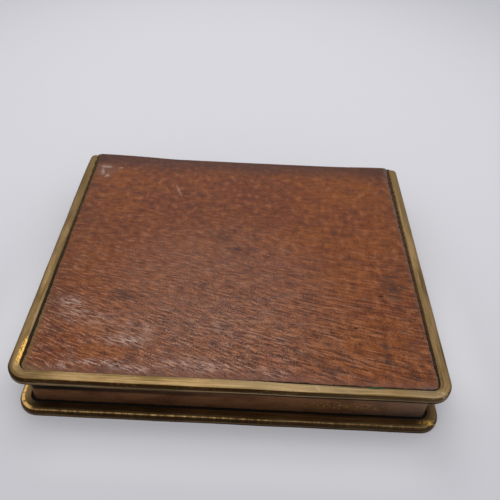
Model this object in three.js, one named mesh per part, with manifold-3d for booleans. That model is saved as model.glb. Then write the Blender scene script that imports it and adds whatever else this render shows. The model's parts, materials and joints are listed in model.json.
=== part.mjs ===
// Book-form cigarette case: a shallow brass tray between two leather-faced covers edged with folded brass.
// Millimetres, +Z up, hinge at the back (+Y), origin at the centre of the underside.
import * as THREE from 'three';
import { mergeVertices } from 'three/addons/utils/BufferGeometryUtils.js';
import Module from 'manifold-3d';

const wasm = await Module();
wasm.setup();

// Outside of the closed case
const caseWidth = 90;
const caseDepth = 80;
const caseHeight = 13;
const cornerRadius = 4.4;

// Covers: a folded channel on three sides grips a brass plate faced with leather
const rimSheet = 0.5;
const rimLip = 2.4;
const rimRound = 0.55;
const rimBackInset = 1.6;
const plateSheet = 0.6;
const leatherThickness = 0.5;
const leatherGroove = 0.3;
const earClear = 0.4;

// Tray wall and the flange of the lid that closes inside it
const wallInset = 3;
const wallSheet = 0.5;
const wallTopGap = 0.3;
const flangeSheet = 0.45;
const flangeFit = 0.3;
const flangeDrop = 2.6;
const flangeBackGap = 1.2;
const pipRadius = 1.1;
const pipClear = 0.1;
const frontPipSpacing = 44;

// Hinge: tubes on one pin, under the leather of the back edge
const pinRadius = 0.5;
const pinSlip = 0.05;
const pinEnd = 0.3;
const knuckleWall = 0.45;
const knuckleCount = 7;
const knuckleGap = 0.15;
const flexReach = 0.9;

// Spine
const spineRound = 1.5;
const boardTopGap = 0.3;

// Elastic band over the cigarettes, held at each end by a riveted plate
const bandWidth = 9;
const bandThickness = 0.8;
const bandEndGap = 0.4;
const bandY = 3;
const anchorLength = 3.2;
const anchorWidth = 11;
const anchorSheet = 0.5;
const anchorRound = 0.7;
const anchorInset = 0.3;
const rivetRadius = 0.5;
const rivetHeadRadius = 0.95;
const rivetHead = 0.4;
const rivetSpacing = 5.4;

// Gap left for solder or glue between two faces, and what a cutting shape runs past the face it cuts
const seat = 0.05;
const overrun = 1;

const arcSteps = 10;
const roundSteps = 24;
const pipSteps = 4;

const front = -caseDepth / 2;
const back = caseDepth / 2;
const halfWidth = caseWidth / 2;
const rimBack = back - rimBackInset;
const coverThickness = 2 * rimSheet + plateSheet + 2 * seat;

const basePlateBottom = rimSheet + seat;
const basePlateTop = basePlateBottom + plateSheet;
const lidPlateTop = caseHeight - rimSheet - seat;
const lidPlateBottom = lidPlateTop - plateSheet;

const leatherInset = rimLip + leatherGroove;
const leatherHalf = halfWidth - leatherInset;

const knuckleRadius = pinRadius + pinSlip + knuckleWall;
const hingeClear = knuckleRadius + seat;
const hingeY = back - leatherThickness - hingeClear;
const hingeZ = lidPlateTop - knuckleRadius;
const hingeHalf = halfWidth - wallInset - wallSheet;

const backWallInside = hingeY - knuckleRadius;
const backWallOutside = backWallInside + wallSheet;
const traySeat = basePlateTop + seat;

// Height or reach left by a round of the given radius at an offset from its centre
function chord(radius, offset) {
  const inside = Math.max(offset, 0);
  return Math.sqrt(Math.max(radius ** 2 - inside ** 2, 0));
}

function toManifold(geometry) {
  const bare = new THREE.BufferGeometry();
  bare.setAttribute('position', geometry.getAttribute('position').clone());
  bare.setIndex(geometry.getIndex());
  const merged = mergeVertices(bare, 1e-5);
  const vertProperties = Float32Array.from(merged.getAttribute('position').array);
  const triVerts = Uint32Array.from(merged.getIndex().array);
  return new wasm.Manifold(new wasm.Mesh({ numProp: 3, vertProperties, triVerts }));
}

function toGeometry(solid) {
  const { vertProperties, triVerts } = solid.getMesh();
  const geometry = new THREE.BufferGeometry();
  geometry.setAttribute('position', new THREE.BufferAttribute(Float32Array.from(vertProperties), 3));
  geometry.setIndex(new THREE.BufferAttribute(Uint32Array.from(triVerts), 1));
  geometry.computeVertexNormals();
  return geometry;
}

// Outline of a cover from above, brought in by an inset: square at the back, round at the two front corners
function coverOutline(inset, backEdge) {
  const x = halfWidth - inset;
  const y = front + inset;
  const r = Math.max(cornerRadius - inset, rimRound);
  const outline = new THREE.Shape();
  outline.moveTo(-x, backEdge);
  outline.lineTo(-x, y + r);
  outline.absarc(-x + r, y + r, r, Math.PI, 1.5 * Math.PI, false);
  outline.lineTo(x - r, y);
  outline.absarc(x - r, y + r, r, 1.5 * Math.PI, 2 * Math.PI, false);
  outline.lineTo(x, backEdge);
  outline.closePath();
  return outline;
}

function rectangle(x0, x1, y0, y1) {
  const outline = new THREE.Shape();
  outline.moveTo(x0, y0);
  outline.lineTo(x1, y0);
  outline.lineTo(x1, y1);
  outline.lineTo(x0, y1);
  outline.closePath();
  return outline;
}

function roundedRectangle(cx, cy, length, width, r) {
  const x = length / 2 - r;
  const y = width / 2 - r;
  const outline = new THREE.Shape();
  outline.absarc(cx + x, cy - y, r, -0.5 * Math.PI, 0, false);
  outline.absarc(cx + x, cy + y, r, 0, 0.5 * Math.PI, false);
  outline.absarc(cx - x, cy + y, r, 0.5 * Math.PI, Math.PI, false);
  outline.absarc(cx - x, cy - y, r, Math.PI, 1.5 * Math.PI, false);
  outline.closePath();
  return outline;
}

function prism(outline, z0, z1) {
  const options = { depth: z1 - z0, bevelEnabled: false, curveSegments: arcSteps };
  const geometry = new THREE.ExtrudeGeometry(outline, options);
  geometry.translate(0, 0, z0);
  return toManifold(geometry);
}

function roundedPrism(outline, z0, z1, r) {
  const geometry = new THREE.ExtrudeGeometry(outline, {
    depth: z1 - z0 - 2 * r,
    bevelThickness: r,
    bevelSize: r,
    bevelOffset: -r,
    bevelSegments: 5,
    curveSegments: arcSteps,
  });
  geometry.translate(0, 0, z0 + r);
  return toManifold(geometry);
}

// A profile drawn in Y and Z, run along X
function alongX(profile, x0, x1) {
  const options = { depth: x1 - x0, bevelEnabled: false, curveSegments: arcSteps };
  const geometry = new THREE.ExtrudeGeometry(profile, options);
  geometry.translate(0, 0, x0);
  const turn = new THREE.Matrix4().makeBasis(
    new THREE.Vector3(0, 1, 0),
    new THREE.Vector3(0, 0, 1),
    new THREE.Vector3(1, 0, 0),
  );
  return toManifold(geometry.applyMatrix4(turn));
}

function upright(radiusTop, radiusBottom, x, y, z0, z1) {
  const geometry = new THREE.CylinderGeometry(radiusTop, radiusBottom, z1 - z0, roundSteps);
  geometry.rotateX(Math.PI / 2);
  geometry.translate(x, y, (z0 + z1) / 2);
  return toManifold(geometry);
}

// Low dome standing on the plane y = 0 and pointing to -Y, its foot sunk into the sheet behind
function pip(height, sink) {
  const sphereRadius = (pipRadius ** 2 + height ** 2) / (2 * height);
  const profile = [new THREE.Vector2(0, -sink), new THREE.Vector2(pipRadius, -sink)];
  for (let i = 0; i < pipSteps; i += 1) {
    const r = pipRadius * (1 - i / pipSteps);
    profile.push(new THREE.Vector2(r, height - sphereRadius + chord(sphereRadius, r)));
  }
  profile.push(new THREE.Vector2(0, height));
  const geometry = new THREE.LatheGeometry(profile, roundSteps / 2);
  geometry.rotateX(Math.PI);
  return geometry;
}

// Folded channel: lips above and below, open towards the plate, cut square at the back
function rim(bottom) {
  const top = bottom + coverThickness;
  const past = back + overrun;
  const body = roundedPrism(coverOutline(0, past + rimRound), bottom, top, rimRound);
  const between = prism(coverOutline(rimLip, past + overrun), bottom - overrun, top + overrun);
  const channel = prism(coverOutline(rimSheet, past + overrun), bottom + rimSheet, top - rimSheet);
  const cut = prism(rectangle(-caseWidth, caseWidth, rimBack, back + caseDepth), bottom - overrun, top + overrun);
  return body.subtract(between).subtract(channel).subtract(cut);
}

// Plate with two ears that run on to the back inside the side channels
function plate(bottom, top, middleBack) {
  const whole = prism(coverOutline(rimSheet + seat, rimBack - earClear), bottom, top);
  const notchHalf = halfWidth - rimLip;
  const notch = rectangle(-notchHalf, notchHalf, middleBack, back + overrun);
  return whole.subtract(prism(notch, bottom - overrun, top + overrun));
}

// Upright sheet following the front and sides at an inset
function band(inset, sheet, backEdge, bottom, top) {
  const outer = prism(coverOutline(inset, backEdge), bottom, top);
  const inner = prism(coverOutline(inset + sheet, backEdge + overrun), bottom - overrun, top + overrun);
  return outer.subtract(inner);
}

function lidFlange() {
  const inset = wallInset + wallSheet + flangeFit;
  const top = lidPlateBottom - seat;
  const bottom = top - flangeDrop;
  let flange = band(inset, flangeSheet, backWallInside - flangeBackGap, bottom, top);
  const z = (top + bottom) / 2;
  const height = flangeFit - pipClear;
  const sink = flangeSheet / 2;
  const places = [
    [-frontPipSpacing / 2, front + inset, 0],
    [frontPipSpacing / 2, front + inset, 0],
    [halfWidth - inset, 0, Math.PI / 2],
    [-halfWidth + inset, 0, -Math.PI / 2],
  ];
  for (const [x, y, turn] of places) {
    const geometry = pip(height, sink);
    geometry.rotateZ(turn);
    geometry.translate(x, y, z);
    flange = flange.add(toManifold(geometry));
  }
  return flange;
}

function backWall() {
  const top = hingeZ - chord(hingeClear, hingeY - backWallOutside);
  const half = halfWidth - wallInset;
  return prism(rectangle(-half, half, backWallInside, backWallOutside), traySeat, top);
}

function knuckle(x0, x1) {
  const bore = pinRadius + pinSlip;
  const profile = [
    new THREE.Vector2(bore, x0),
    new THREE.Vector2(knuckleRadius, x0),
    new THREE.Vector2(knuckleRadius, x1),
    new THREE.Vector2(bore, x1),
    new THREE.Vector2(bore, x0),
  ];
  const geometry = new THREE.LatheGeometry(profile, roundSteps);
  geometry.rotateZ(-Math.PI / 2);
  geometry.translate(0, hingeY, hingeZ);
  return toManifold(geometry);
}

function hingePin() {
  const geometry = new THREE.CylinderGeometry(pinRadius, pinRadius, 2 * (hingeHalf + pinEnd), roundSteps);
  geometry.rotateZ(Math.PI / 2);
  geometry.translate(0, hingeY, hingeZ);
  return toManifold(geometry);
}

// Section of the space behind the back wall, round at its lower back edge
function spineSection(y1) {
  const y0 = backWallOutside + seat;
  const z0 = leatherThickness + seat;
  const z1 = hingeZ - knuckleRadius - boardTopGap;
  const r = Math.min(spineRound - leatherThickness - seat, y1 - y0 - seat);
  const profile = new THREE.Shape();
  profile.moveTo(y0, z0);
  profile.lineTo(y1 - r, z0);
  profile.absarc(y1 - r, z0 + r, r, -0.5 * Math.PI, 0, false);
  profile.lineTo(y1, z1);
  profile.lineTo(y0, z1);
  profile.closePath();
  return profile;
}

function spineBoard() {
  const half = leatherHalf - leatherThickness - seat;
  return alongX(spineSection(back - leatherThickness - seat), -half, half);
}

// Leather up the back, turned in over both ends of the board
function spineLeather() {
  const top = hingeZ - flexReach - seat;
  const y = back - spineRound;
  const z = spineRound;
  const profile = new THREE.Shape();
  profile.moveTo(y, 0);
  profile.absarc(y, z, spineRound, -0.5 * Math.PI, 0, false);
  profile.lineTo(back, top);
  profile.lineTo(back - leatherThickness, top);
  profile.absarc(y, z, spineRound - leatherThickness, 0, -0.5 * Math.PI, true);
  profile.closePath();
  const fold = spineSection(back - leatherThickness / 2);
  const inside = leatherHalf - leatherThickness;
  return alongX(profile, -leatherHalf, leatherHalf)
    .add(alongX(fold, -leatherHalf, -inside))
    .add(alongX(fold, inside, leatherHalf));
}

function hingeLeather() {
  const outer = hingeClear + leatherThickness;
  const profile = new THREE.Shape();
  profile.moveTo(hingeY + outer, hingeZ - flexReach);
  profile.absarc(hingeY, hingeZ, outer, 0, 0.5 * Math.PI, false);
  profile.lineTo(hingeY - flexReach, hingeZ + outer);
  profile.lineTo(hingeY - flexReach, hingeZ + hingeClear);
  profile.absarc(hingeY, hingeZ, hingeClear, 0.5 * Math.PI, 0, true);
  profile.lineTo(hingeY + hingeClear, hingeZ - flexReach);
  profile.closePath();
  return alongX(profile, -leatherHalf, leatherHalf);
}

const group = new THREE.Group();
group.name = 'cigarette_case';

const finishes = {
  rim: [0x8a7b57, 0.42, 1],
  tray: [0x5a4031, 0.5, 1],
  gilt: [0xb08a48, 0.35, 1],
  steel: [0x9a968c, 0.35, 1],
  leather: [0x7a3a26, 0.55, 0],
  card: [0x8d7a5e, 0.9, 0],
  elastic: [0x2e2622, 0.9, 0],
};

function add(name, solid, finish) {
  const [color, roughness, metalness] = finishes[finish];
  const material = new THREE.MeshStandardMaterial({ color, roughness, metalness });
  const mesh = new THREE.Mesh(toGeometry(solid), material);
  mesh.name = name;
  group.add(mesh);
}

// Elastic band and what holds it: both plates, the band and the floor are drilled for the same rivets
const bandHalf = halfWidth - wallInset - wallSheet - bandEndGap;
const bandBottom = traySeat;
const bandTop = bandBottom + bandThickness;
const anchorBottom = bandTop + seat;
const anchorTop = anchorBottom + anchorSheet;
const anchorX = bandHalf - anchorInset - anchorLength / 2;
const rivetPlaces = [];
for (const [side, x] of [['left', -anchorX], ['right', anchorX]]) {
  for (const [end, dy] of [['front', -rivetSpacing / 2], ['back', rivetSpacing / 2]]) {
    rivetPlaces.push({ name: `band_rivet_${side}_${end}`, x, y: bandY + dy });
  }
}

function drilled(solid) {
  const r = rivetRadius + seat;
  return rivetPlaces.reduce(
    (left, { x, y }) => left.subtract(upright(r, r, x, y, -overrun, anchorTop + overrun)),
    solid,
  );
}

function rivet(x, y) {
  const headBottom = anchorTop + seat;
  const shank = upright(rivetRadius, rivetRadius, x, y, basePlateBottom, headBottom + rivetHead / 2);
  return shank.add(upright(rivetRadius, rivetHeadRadius, x, y, headBottom, headBottom + rivetHead));
}

function anchor(x) {
  const outline = roundedRectangle(x, bandY, anchorLength, anchorWidth, anchorRound);
  return drilled(prism(outline, anchorBottom, anchorTop));
}

// Base and tray
add('base_rim', rim(0), 'rim');
add('base_plate', drilled(plate(basePlateBottom, basePlateTop, backWallOutside)), 'gilt');
add('base_leather', prism(coverOutline(leatherInset, back - spineRound - seat), 0, leatherThickness), 'leather');
add('spine_leather', spineLeather(), 'leather');
add('hinge_leather', hingeLeather(), 'leather');
add('spine_board', spineBoard(), 'card');
add('tray_wall', band(wallInset, wallSheet, backWallInside - seat, traySeat, lidPlateBottom - wallTopGap), 'tray');
add('tray_back_wall', backWall(), 'gilt');
add('hinge_pin', hingePin(), 'steel');
const bandOutline = rectangle(-bandHalf, bandHalf, bandY - bandWidth / 2, bandY + bandWidth / 2);
add('band', drilled(prism(bandOutline, bandBottom, bandTop)), 'elastic');
add('band_anchor_left', anchor(-anchorX), 'gilt');
add('band_anchor_right', anchor(anchorX), 'gilt');
for (const { name, x, y } of rivetPlaces) {
  add(name, rivet(x, y), 'gilt');
}

// Lid
const lidPlateBack = hingeY - chord(hingeClear, lidPlateBottom - hingeZ);
const lidLeatherOutline = coverOutline(leatherInset, hingeY - flexReach - seat);
const lidLeatherBottom = lidPlateTop + seat;
add('lid_rim', rim(caseHeight - coverThickness), 'rim');
add('lid_plate', plate(lidPlateBottom, lidPlateTop, lidPlateBack), 'gilt');
add('lid_leather', prism(lidLeatherOutline, lidLeatherBottom, lidLeatherBottom + leatherThickness), 'leather');
add('lid_flange', lidFlange(), 'gilt');

// Hinge tubes, the first and last of them on the tray
const knuckleLength = (2 * hingeHalf - (knuckleCount - 1) * knuckleGap) / knuckleCount;
for (let i = 0; i < knuckleCount; i += 1) {
  const x = -hingeHalf + i * (knuckleLength + knuckleGap);
  const name = i % 2 === 0 ? `base_knuckle_${i / 2 + 1}` : `lid_knuckle_${(i + 1) / 2}`;
  add(name, knuckle(x, x + knuckleLength), 'gilt');
}

export default group;
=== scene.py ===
"""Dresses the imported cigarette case: worn leather, tarnished brass, a studio floor and a camera."""
import json
import math

import bmesh
import bpy
from bpy.props import FloatProperty, FloatVectorProperty, PointerProperty
from mathutils import Euler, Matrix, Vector, noise


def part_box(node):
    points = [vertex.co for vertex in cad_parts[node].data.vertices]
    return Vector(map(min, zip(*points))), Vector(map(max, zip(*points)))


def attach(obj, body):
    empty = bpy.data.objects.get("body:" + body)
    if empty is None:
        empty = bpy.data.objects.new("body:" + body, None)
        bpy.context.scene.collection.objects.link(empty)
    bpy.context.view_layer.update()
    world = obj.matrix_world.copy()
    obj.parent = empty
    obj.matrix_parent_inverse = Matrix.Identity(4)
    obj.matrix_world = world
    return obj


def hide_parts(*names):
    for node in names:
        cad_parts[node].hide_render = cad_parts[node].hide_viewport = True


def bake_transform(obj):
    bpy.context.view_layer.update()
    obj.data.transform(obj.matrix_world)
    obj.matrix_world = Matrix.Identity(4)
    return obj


bl_info = {
    "name": "Leather Cigarette Case",
    "version": (1, 0, 0),
    "blender": (4, 5, 0),
    "location": "3D View > Sidebar > Case",
    "description": "Builds the leather, brass rims, tray, hinge and band of a hinged pocket case",
    "category": "Object",
}

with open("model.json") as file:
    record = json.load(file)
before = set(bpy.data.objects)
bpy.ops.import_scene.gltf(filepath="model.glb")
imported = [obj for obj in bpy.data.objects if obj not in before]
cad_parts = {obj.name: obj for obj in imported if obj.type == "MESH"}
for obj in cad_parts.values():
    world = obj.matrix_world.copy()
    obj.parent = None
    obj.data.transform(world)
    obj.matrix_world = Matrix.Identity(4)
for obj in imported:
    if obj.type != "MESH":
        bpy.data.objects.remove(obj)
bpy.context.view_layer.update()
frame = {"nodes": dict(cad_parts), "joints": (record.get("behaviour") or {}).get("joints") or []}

MM = 0.001
HINGE = Vector(frame["joints"][0]["pos_m"])
LID_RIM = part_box("lid_rim")
BASE_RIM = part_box("base_rim")
LID_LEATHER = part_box("lid_leather")
BASE_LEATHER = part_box("base_leather")
SPINE_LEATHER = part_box("spine_leather")
TRAY_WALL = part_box("tray_wall")
LID_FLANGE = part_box("lid_flange")
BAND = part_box("band")
BAND_RIBS = 11

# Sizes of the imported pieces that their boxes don't give
SPINE_ROUND = 1.5 * MM
WALL_SHEET, WALL_CORNER = 0.5 * MM, 1.4 * MM
FLANGE_SHEET, FLANGE_CORNER = 0.45 * MM, 0.6 * MM
PIP_RADIUS, PIP_PROUD, PIP_FLATNESS, PIP_PLACE = 1.1 * MM, 0.2 * MM, 0.18, 22 * MM
KNUCKLE_BORE, KNUCKLE_RADIUS, PIN_RADIUS = 0.55 * MM, 1 * MM, 0.5 * MM
ANCHOR_CORNER = 0.7 * MM
RIVET_SHANK, RIVET_DOME = 0.5 * MM, 0.4 * MM


def tone(red, green, blue):
    """An 8-bit screen colour as the linear colour that a shader takes."""
    def linear(channel):
        share = channel / 255
        return share / 12.92 if share <= 0.04045 else ((share + 0.055) / 1.055) ** 2.4
    return linear(red), linear(green), linear(blue)


def length_property(name, description, default):
    """A length in metres for a property group."""
    return FloatProperty(name=name, description=description, default=default,
                         min=0, unit="LENGTH", precision=5)


def colour_property(name, description, default):
    """A linear colour for a property group."""
    return FloatVectorProperty(name=name, description=description, default=default,
                               size=3, min=0, max=1, subtype="COLOR")


class CaseSizes(bpy.types.PropertyGroup):
    """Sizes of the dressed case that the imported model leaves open."""
    corner_radius: length_property("Corner radius", "Outer radius of the front corners", 4.4 * MM)
    lip_width: length_property("Lip width", "How far the rim's folded lips reach in", 2.4 * MM)
    rim_sheet: length_property("Rim sheet", "Thickness of the brass sheet of the rims", 0.5 * MM)
    lid_rim_round: length_property("Lid rim round", "Radius of the lid rim's outer edges", 0.55 * MM)
    base_rim_round: length_property("Base rim round", "Radius of the base rim's outer edges", 0.8 * MM)
    rim_end_round: length_property("Rim end round", "Radius of the rims' back corners", 0.9 * MM)
    rim_waver: length_property("Rim waver", "How far the rims stray from straight", 0.05 * MM)
    leather_thickness: length_property("Leather thickness", "Thickness of the leather cover", 0.45 * MM)
    leather_crown: length_property("Leather crown", "Rise of the leather at the lid's middle", 0.1 * MM)
    leather_groove: length_property("Leather groove", "Gap between the rim's lip and the leather", 0.3 * MM)
    grain_depth: length_property("Grain depth", "Depth of the leather's worn grain", 0.032 * MM)
    swell: length_property("Swell", "Height of the leather's broad unevenness", 0.07 * MM)


class CaseColours(bpy.types.PropertyGroup):
    """Colours of the case's finishes and of the studio."""
    leather: colour_property("Leather", "Reddish brown of the leather", tone(105, 50, 22))
    leather_warm: colour_property("Warm leather", "Orange brown of rubbed leather", tone(123, 64, 19))
    # Also painted as sheen along the lid's front edge and over the front
    leather_dull_and_sheen: colour_property("Dull leather", "Greyed brown of dry leather", tone(108, 70, 55))
    leather_dark: colour_property("Dark leather", "Grain valleys and stains", tone(50, 23, 14))
    # Also painted as shade where the leather turns over the bend
    leather_stain_and_shade: colour_property("Stained leather", "Greyed dark blotches", tone(60, 40, 35))
    # Also painted as a broad sheen over the middle and front of the lid
    leather_scuff_and_sheen: colour_property("Scuffs", "Pale dry scuffs", tone(189, 165, 153))
    leather_edge: colour_property("Leather edge", "Greyed cut edge of the leather", tone(92, 80, 74))
    # On the leather's ridges this also paints glints
    leather_ridge: colour_property("Ridges", "Rubbed tops of the grain", tone(157, 98, 60))
    brass: colour_property("Brass", "Rubbed brass of the rims' lips", tone(164, 135, 92))
    brass_olive: colour_property("Dull brass", "Dull olive brass", tone(113, 91, 52))
    brass_pale: colour_property("Pale brass", "Fine rubbed lines on the rims", tone(196, 174, 136))
    # Also paints the glint on the lid's left strip
    brass_bright: colour_property("Bright brass", "Brass polished by handling", tone(222, 174, 84))
    brass_shine: colour_property("Shining brass", "Highlight along the base rim", tone(236, 190, 116))
    # Only the rims' front faces get this dark brown, not their sides
    brass_brown: colour_property("Brown brass", "Brown tarnish of the rims' front faces", tone(53, 33, 6))
    tarnish: colour_property("Tarnish", "Dark brown tarnish of the edges", tone(62, 44, 26))
    wall: colour_property("Wall", "Brown tarnish of the tray wall", tone(124, 86, 58))
    gilt: colour_property("Gilt brass", "Warm brass inside the case", tone(205, 168, 106))
    steel: colour_property("Steel", "Hinge pin and rivets", tone(150, 146, 140))
    verdigris: colour_property("Verdigris", "Brown green residue in the leather's groove", tone(60, 49, 29))
    grime: colour_property("Grime", "Brown grime in the leather's groove", tone(70, 47, 22))
    green: colour_property("Green", "Fresh green spot beside the groove", tone(18, 68, 44))
    # Also painted as shade: under the lid's rim on the wall, on the rims' bottom edge and the base's front
    # ledge, in the band's grooves and in the wall foot's slit
    dirt_and_shade: colour_property("Dirt", "Black brown dirt in corners", tone(12, 9, 6))
    elastic: colour_property("Elastic", "Woven band on the tray floor", tone(104, 80, 60))
    card: colour_property("Card", "Spine stiffener", tone(92, 72, 52))
    floor: colour_property("Floor", "Studio floor", tone(208, 207, 212))
    # Painted falloff of the light away from the case
    floor_falloff_shade: colour_property("Far floor", "Studio floor away from the case", tone(183, 183, 188))
    # Also painted as light round the case's front
    floor_horizon_and_light: colour_property("Floor edge", "Studio floor towards the horizon", tone(226, 226, 230))


def operator_pair(operation):
    """The plain and the reflected method that put a Math node behind an operator."""
    def plain(self, other):
        return self.math(operation, self, other)

    def reflected(self, other):
        return self.math(operation, other, self)
    return plain, reflected


class Shade:
    """One value on its way through a material; sums on it add Math nodes."""
    __add__, __radd__ = operator_pair("ADD")
    __sub__, __rsub__ = operator_pair("SUBTRACT")
    __mul__, __rmul__ = operator_pair("MULTIPLY")
    __truediv__, __rtruediv__ = operator_pair("DIVIDE")
    __pow__, __rpow__ = operator_pair("POWER")

    def __init__(self, finish, socket):
        self.finish = finish
        self.socket = socket

    def __abs__(self):
        return self.math("ABSOLUTE", self)

    def math(self, operation, *values):
        """A Math node on these values."""
        return self.finish.node("ShaderNodeMath", {"operation": operation}, dict(enumerate(values)))


class Finish:
    """A node tree under construction, with one method that adds any node to it."""

    def __init__(self, owner):
        owner.use_nodes = True
        self.owner = owner
        self.tree = owner.node_tree
        self.tree.nodes.clear()

    @classmethod
    def material(cls, name):
        """An empty material of that name."""
        return cls(bpy.data.materials.new(name))

    def node(self, kind, settings=None, sockets=None, output=0):
        """Adds a node: its settings first, then the values or links of its sockets."""
        node = self.tree.nodes.new(kind)
        for name, value in (settings or {}).items():
            setattr(node, name, value)
        for key, value in (sockets or {}).items():
            if isinstance(value, Shade):
                self.tree.links.new(value.socket, node.inputs[key])
            else:
                node.inputs[key].default_value = value
        return Shade(self, node.outputs[output]) if node.outputs else None

    def split(self, vector):
        """The three numbers of a vector."""
        first = self.node("ShaderNodeSeparateXYZ", None, {0: vector})
        return [Shade(self, output) for output in first.socket.node.outputs]

    def attribute(self, name):
        """The three numbers of a piece's own attribute, in millimetres."""
        return self.split(self.node("ShaderNodeAttribute", {"attribute_name": name}, output="Vector"))

    def place(self):
        """A point's place in the part's own frame, in millimetres."""
        vector = self.node("ShaderNodeTexCoord", output="Object")
        scaled = self.node("ShaderNodeVectorMath", {"operation": "SCALE"}, {0: vector, "Scale": 1 / MM})
        return self.split(scaled)

    def cloud(self, x, y, z=0, detail=2, roughness=0.5):
        """Soft noise from 0 to 1 over coordinates that are already scaled."""
        vector = self.node("ShaderNodeCombineXYZ", None, {0: x, 1: y, 2: z})
        return self.node("ShaderNodeTexNoise", None, {
            "Vector": vector, "Scale": 1, "Detail": detail, "Roughness": roughness})

    def ease(self, value, low, high, start=0, end=1):
        """A smooth step of value between low and high, from start to end."""
        return self.node("ShaderNodeMapRange", {"interpolation_type": "SMOOTHSTEP"},
                         {0: value, 1: low, 2: high, 3: start, 4: end})

    def coats(self, colour, *layers):
        """A colour under further coats, each a colour and the share of it that covers."""
        def paint(item):
            return item if isinstance(item, Shade) else (*item, 1)
        for coat, share in layers:
            colour = self.node("ShaderNodeMix", {"data_type": "RGBA"},
                               {0: share, 6: paint(colour), 7: paint(coat)}, 2)
        return colour

    def blob(self, x, y, middle, reach):
        """1 at the middle of an ellipse, falling smoothly to 0 at its edge."""
        away = ((x - middle[0]) / reach[0]) ** 2 + ((y - middle[1]) / reach[1]) ** 2
        return self.ease(away, 1, 0)

    def blobs(self, x, y, places):
        """The sum of several blobs, each given by its middle and reach."""
        return sum(self.blob(x, y, middle, reach) for middle, reach in places)

    def bump(self, height, distance):
        """A bump from a height from 0 to 1 that stands for a distance in metres."""
        return self.node("ShaderNodeBump", None, {"Height": height, "Distance": distance})

    def close(self, **sockets):
        """Ends the material in a Principled shader; names are socket names with underscores."""
        named = {key.replace("_", " "): value for key, value in sockets.items()}
        shader = self.node("ShaderNodeBsdfPrincipled", None, named)
        self.node("ShaderNodeOutputMaterial", None, {"Surface": shader})
        return self.owner


# Places on the leather in millimetres: middle across and along, reach across and along
WARM_PLACES = (((-20, -8), (20, 22)), ((6, -14), (10, 7)))
FLAKED_SPOTS = (((-39.4, 33), (2, 0.9)), ((-35, 32.7), (0.9, 0.7)),
                ((-38.4, 28.8), (0.9, 0.9)), ((-39.8, 30.6), (0.7, 1.6)))
PITS = (((33.5, -12.8), (0.7, 0.5)), ((26.7, -22.8), (0.7, 0.5)))


def across_grain(x, along, front):
    """The coordinate across the leather's grain, which leans down to the right towards the front."""
    return along + x * 0.06 + front * (x * 0.27 - x * x * 0.00175)


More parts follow.
